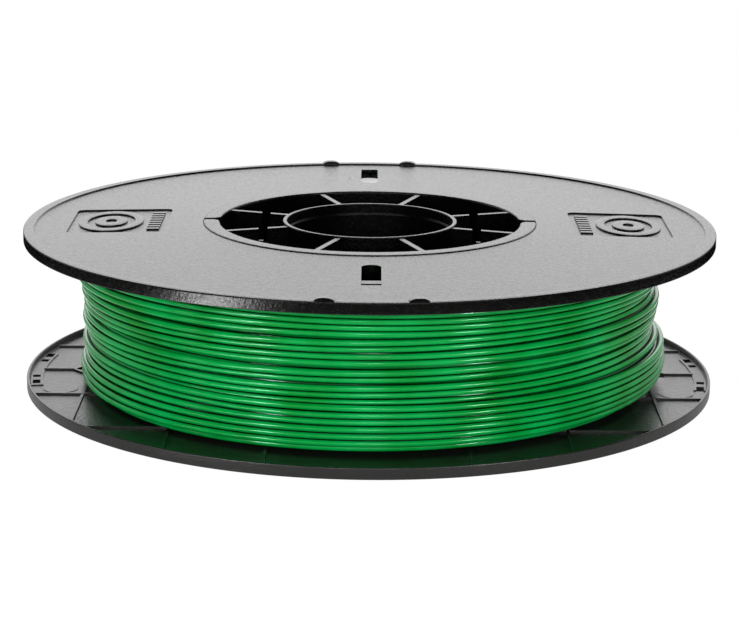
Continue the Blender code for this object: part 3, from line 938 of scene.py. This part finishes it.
def free_end(material):
    """Last stretch of the strand, from its pivot along the winding to a snipped tip."""
    radius = math.hypot(FREE_END_PIVOT.x, FREE_END_PIVOT.y)
    start = math.atan2(FREE_END_PIVOT.y, FREE_END_PIVOT.x)
    span = 2 * math.asin((FREE_HIGH.x - FREE_END_PIVOT.x) / (2 * radius))
    along = np.linspace(0.0, 1.0, 48)
    bearings = start - span * along
    radii = np.full_like(along, radius)
    heights = np.full_like(along, FREE_END_PIVOT.z)
    strand = tube("filament_free_end_strand", radii, bearings, heights, STRAND_RADIUS, OUTER_SIDES, False)
    return dress(strand, material)


# ------------------------------------------------------------------------ emblem

def emblem(name, side, material):
    """Plain raised rings and a column of plain bars in a panel's recess."""
    floor = -PANEL_DEPTH
    foot = floor - SINK / 2
    top = floor + EMBLEM_HEIGHT
    parts = []
    for outer, inner in EMBLEM_RINGS:
        outline = [(inner, foot), (outer, foot), (outer, top), (inner, top)]
        ring = turned("ring", rounded(outline, 0.1 * MM, 2), 72)
        ring.data.transform(Matrix.Diagonal((1.0, EMBLEM_STRETCH, 1.0, 1.0)))
        ring.data.transform(Matrix.Translation((EMBLEM_OFFSET, 0.0, 0.0)))
        parts.append(ring)
    for index in range(BAR_COUNT):
        middle = (index - (BAR_COUNT - 1) / 2) * BAR_PITCH
        parts.append(box((BAR_START, middle - BAR_WIDTH / 2, foot), (BAR_END, middle + BAR_WIDTH / 2, top)))
    piece = joined(name, parts)
    piece.data.set_sharp_from_angle(angle=SHARP_ANGLE)
    piece.data.transform(panel_place(side))
    return dress(piece, material)


def gate_scar(material):
    """Whitened spot left on the outer face where the moulding's gate was cut."""
    x, y = GATE_MARK
    spot = turned("upper_gate_scar", [(0.0, -0.1 * MM), (0.5 * MM, -0.1 * MM), (0.4 * MM, 0.07 * MM),
                                      (0.0, 0.1 * MM)], 16)
    spot.data.transform(Matrix.Translation((x, y, web_top(math.hypot(x, y)))))
    return dress(spot, material)


def window_shade_wall(material):
    """Short dark wall under the upper flange at the rim side of its far window, standing in for the shade
    seen through that window.
    """
    reach = WINDOW_WIDTH / 2 + RIB_WIDTH
    shade_wall = box((FAR_WINDOW_X - reach, FAR_WINDOW[1], WEB_UNDERSIDE - WALL_HEIGHT),
              (FAR_WINDOW_X + reach, FAR_WINDOW[1] + RIB_WIDTH, WEB_UNDERSIDE + SINK))
    shade_wall.name = "upper_window_shade_wall"
    return dress(shade_wall, material)


def paint_far_ramp_highlight(flange, material):
    """Paint the far ramp's floor pale, a painted highlight, and give it a smoother finish."""
    flange.data.materials.append(material)
    for face in flange.data.polygons:
        beside = abs(face.center.x - FAR_WINDOW_X) < WINDOW_WIDTH / 2
        on_ramp = beside and FAR_RAMP_START < face.center.y < FAR_WINDOW[1]
        if on_ramp and face.normal.z > 0 and face.normal.y > LEAST_RAMP_TILT:
            face.material_index = 1


# ------------------------------------------------------------------------- stage

def maths(tree, operation, first, second):
    made = tree.nodes.new("ShaderNodeMath")
    made.operation = operation
    for socket, value in zip(made.inputs, (first, second)):
        if isinstance(value, (int, float)):
            socket.default_value = value
        else:
            tree.links.new(value, socket)
    return made.outputs["Value"]


def floor_glow(tree, path):
    """Strength of the floor's light: a pool round the spool, and a sector that only reflections see."""
    place = object_coordinates(tree)
    split = tree.nodes.new("ShaderNodeSeparateXYZ")
    tree.links.new(place, split.inputs["Vector"])
    length = tree.nodes.new("ShaderNodeVectorMath")
    length.operation = "LENGTH"
    tree.links.new(place, length.inputs[0])
    reach = length.outputs["Value"]
    left_of_front = maths(tree, "ARCTAN2", maths(tree, "MULTIPLY", split.outputs["X"], -1.0),
                          maths(tree, "MULTIPLY", split.outputs["Y"], -1.0))
    bearing = maths(tree, "DIVIDE", left_of_front, math.tau)
    pool = ramped(tree, reach, FLOOR_POOL)
    glint = maths(tree, "MULTIPLY", ramped(tree, bearing, GLINT_BEARING), ramped(tree, reach, GLINT_REACH))
    glossy_only = maths(tree, "MULTIPLY", glint, path.outputs["Is Glossy Ray"])
    shine = maths(tree, "MULTIPLY", glossy_only, GLINT_PEAK)
    return maths(tree, "ADD", maths(tree, "MULTIPLY", pool, FLOOR_PEAK), shine)


def floor_paint():
    """White to the camera; a light of its own to every other ray."""
    material, tree, shader = new_material("floor_paint")
    shader.inputs["Base Color"].default_value = (0.9, 0.9, 0.9, 1)
    shader.inputs["Roughness"].default_value = 0.9
    white = node(tree, "ShaderNodeEmission", Color=(1, 1, 1, 1), Strength=1.04)
    seen = node(tree, "ShaderNodeMixShader", Fac=0.95)
    tree.links.new(shader.outputs["BSDF"], seen.inputs[1])
    tree.links.new(white.outputs["Emission"], seen.inputs[2])
    path = tree.nodes.new("ShaderNodeLightPath")
    lit = tree.nodes.new("ShaderNodeEmission")
    tree.links.new(floor_glow(tree, path), lit.inputs["Strength"])
    choose = tree.nodes.new("ShaderNodeMixShader")
    tree.links.new(path.outputs["Is Camera Ray"], choose.inputs["Fac"])
    tree.links.new(lit.outputs["Emission"], choose.inputs[1])
    tree.links.new(seen.outputs["Shader"], choose.inputs[2])
    tree.links.new(choose.outputs["Shader"], tree.nodes["Material Output"].inputs["Surface"])
    material.cycles.emission_sampling = "NONE"
    return material


def floor():
    shape = bmesh.new()
    bmesh.ops.create_circle(shape, cap_ends=True, segments=64, radius=4.0)
    ground = object_from("floor", shape)
    ground.location.z = -HUB_TOP
    ground.data.materials.append(floor_paint())


def reflected_bands(tree):
    """Strength of the world in reflections: a bright wall behind the spool, a soft band behind the camera."""
    split = tree.nodes.new("ShaderNodeSeparateXYZ")
    tree.links.new(tree.nodes.new("ShaderNodeTexCoord").outputs["Generated"], split.inputs["Vector"])
    depth = maths(tree, "MULTIPLY_ADD", split.outputs["Y"], 0.5)
    depth.node.inputs[2].default_value = 0.5
    aside = maths(tree, "ABSOLUTE", split.outputs["X"], 0.0)
    glow = 0.0
    bands = (
        (BACK_DEPTH, BACK_SPREAD, BACK_RISE, BACK_PEAK),
        (FRONT_DEPTH, FRONT_SPREAD, FRONT_RISE, FRONT_PEAK),
    )
    for depths, spreads, rises, peak in bands:
        band = maths(tree, "MULTIPLY", ramped(tree, depth, depths), ramped(tree, split.outputs["Z"], rises))
        band = maths(tree, "MULTIPLY", band, ramped(tree, aside, spreads))
        glow = maths(tree, "ADD", maths(tree, "MULTIPLY", band, peak), glow)
    return glow


def studio_world():
    """Plain white to the camera, and bands of light to every other ray."""
    world = bpy.data.worlds.new("studio")
    bpy.context.scene.world = world
    world.use_nodes = True
    tree = world.node_tree
    path = tree.nodes.new("ShaderNodeLightPath")
    choose = tree.nodes.new("ShaderNodeMix")
    choose.data_type = "FLOAT"
    tree.links.new(path.outputs["Is Camera Ray"], choose.inputs["Factor"])
    tree.links.new(reflected_bands(tree), choose.inputs["A"])
    choose.inputs["B"].default_value = 1.02
    background = tree.nodes["Background"]
    background.inputs["Color"].default_value = (1, 1, 1, 1)
    tree.links.new(choose.outputs["Result"], background.inputs["Strength"])


def softbox(name, place, width, height, power):
    data = bpy.data.lights.new(name, "AREA")
    data.shape = "RECTANGLE"
    data.size = width
    data.size_y = height
    data.energy = power
    lamp = bpy.data.objects.new(name, data)
    lamp.location = place
    lamp.rotation_euler = (-Vector(place)).to_track_quat("-Z", "Y").to_euler()
    bpy.context.scene.collection.objects.link(lamp)
    return lamp


def lights():
    """Small lamps for the winding's highlights; the low ones are flagged off the upper side and the hub."""
    low_lamps = (
        softbox("front_left_softbox", (-0.62, -0.76, 0.20), 0.14, 0.07, 3.4),
        softbox("front_right_softbox", (0.62, -0.76, 0.20), 0.14, 0.07, 3.4),
        softbox("front_softbox", (0.0, -1.0, 0.34), 0.20, 0.06, 1.6),
        softbox("left_strip", (-0.90, -0.35, 0.20), 0.15, 0.40, 0.5),
    )
    softbox("top_strip", (0.0, -0.30, 0.95), 1.10, 0.05, 2.2)
    flagged = bpy.data.collections.new("flagged_from_low_lamps")
    for name in FLAGGED_PIECES:
        flagged.objects.link(bpy.data.objects[name])
    for member in flagged.collection_objects:
        member.light_linking.link_state = "EXCLUDE"
    for lamp in low_lamps:
        lamp.light_linking.receiver_collection = flagged


def camera():
    """Low three-quarter product view from the front, through a long lens."""
    distance = 7.168 * FLANGE_RADIUS
    elevation = math.radians(13.44)
    extra_pitch = math.radians(0.48)
    roll = math.radians(0.5)
    data = bpy.data.cameras.new("camera")
    data.sensor_width = 36.0
    data.lens = 119.16
    data.clip_start = 0.01
    data.clip_end = 50.0
    eye = bpy.data.objects.new("camera", data)
    bpy.context.scene.collection.objects.link(eye)
    eye.location = (0.0, -distance * math.cos(elevation), distance * math.sin(elevation))
    aim = Matrix.Rotation(math.pi / 2 - elevation - extra_pitch, 3, "X")
    eye.rotation_euler = (aim @ Matrix.Rotation(roll, 3, "Z")).to_euler()
    bpy.context.scene.camera = eye


# -------------------------------------------------------------------------- main

def mouldings():
    upper_black = black_plastic("upper_flange_plastic", 0.005, 0.18, 0.33)
    # The lower flange's black is paler than the upper flange's: painted light on its inner face
    lower_black_painted_light = black_plastic("lower_flange_plastic_painted_light", 0.008, 0.24, 0.38)
    # The hub's black is darker than the flanges': painted shade for the hub's inside
    hub_black_painted_shade = black_plastic("hub_plastic_painted_shade", 0.002, 0.18, 0.33)
    flange = flange_moulding("upper_flange_moulding")
    hub = hub_moulding("upper_hub_moulding")
    pairs = (
        (flange, "upper_flange", upper_black, "flange_plastic"),
        (other_side_copy(flange, "lower_flange_moulding"), "lower_flange", lower_black_painted_light, "flange_plastic"),
        (hub, "upper_hub_half", hub_black_painted_shade, "hub_plastic"),
        (other_side_copy(hub, "lower_hub_moulding"), "lower_hub_half", hub_black_painted_shade, "hub_plastic"),
    )
    for piece, body, material, slot_name in pairs:
        dress(piece, material)
        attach(piece, body)
        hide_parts(body)
    # Pale, smooth plastic on the far ramp: its pale colour is a painted highlight
    paint_far_ramp_highlight(flange, black_plastic("far_ramp_painted_highlight", 0.35, 0.08, 0.16))
    scar = gate_scar(black_plastic("whitened_plastic", 0.55, 0.4, 0.6))
    # The wall under the far window is a dark stand-in for shade
    for piece in (scar, window_shade_wall(upper_black)):
        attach(piece, "upper_flange")
    for side, word in ((1, "right"), (-1, "left")):
        badge = emblem("upper_emblem_" + word, side, upper_black)
        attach(badge, "upper_flange")
        lower_badge = other_side_copy(badge, "lower_emblem_" + word)
        dress(lower_badge, lower_black_painted_light)
        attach(lower_badge, "lower_flange")


def filament():
    green = green_filament("filament_green")
    outer = outer_layers(green)
    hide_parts("filament_coil")
    for piece in (outer, end_turns(green), first_layer(green), winding_core(green)):
        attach(piece, "filament_coil")
    tip = free_end(green)
    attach(tip, "filament_free_end")
    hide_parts("filament_free_end")


bpy.context.scene.view_settings.view_transform = "Standard"
mouldings()
filament()
floor()
studio_world()
lights()
camera()
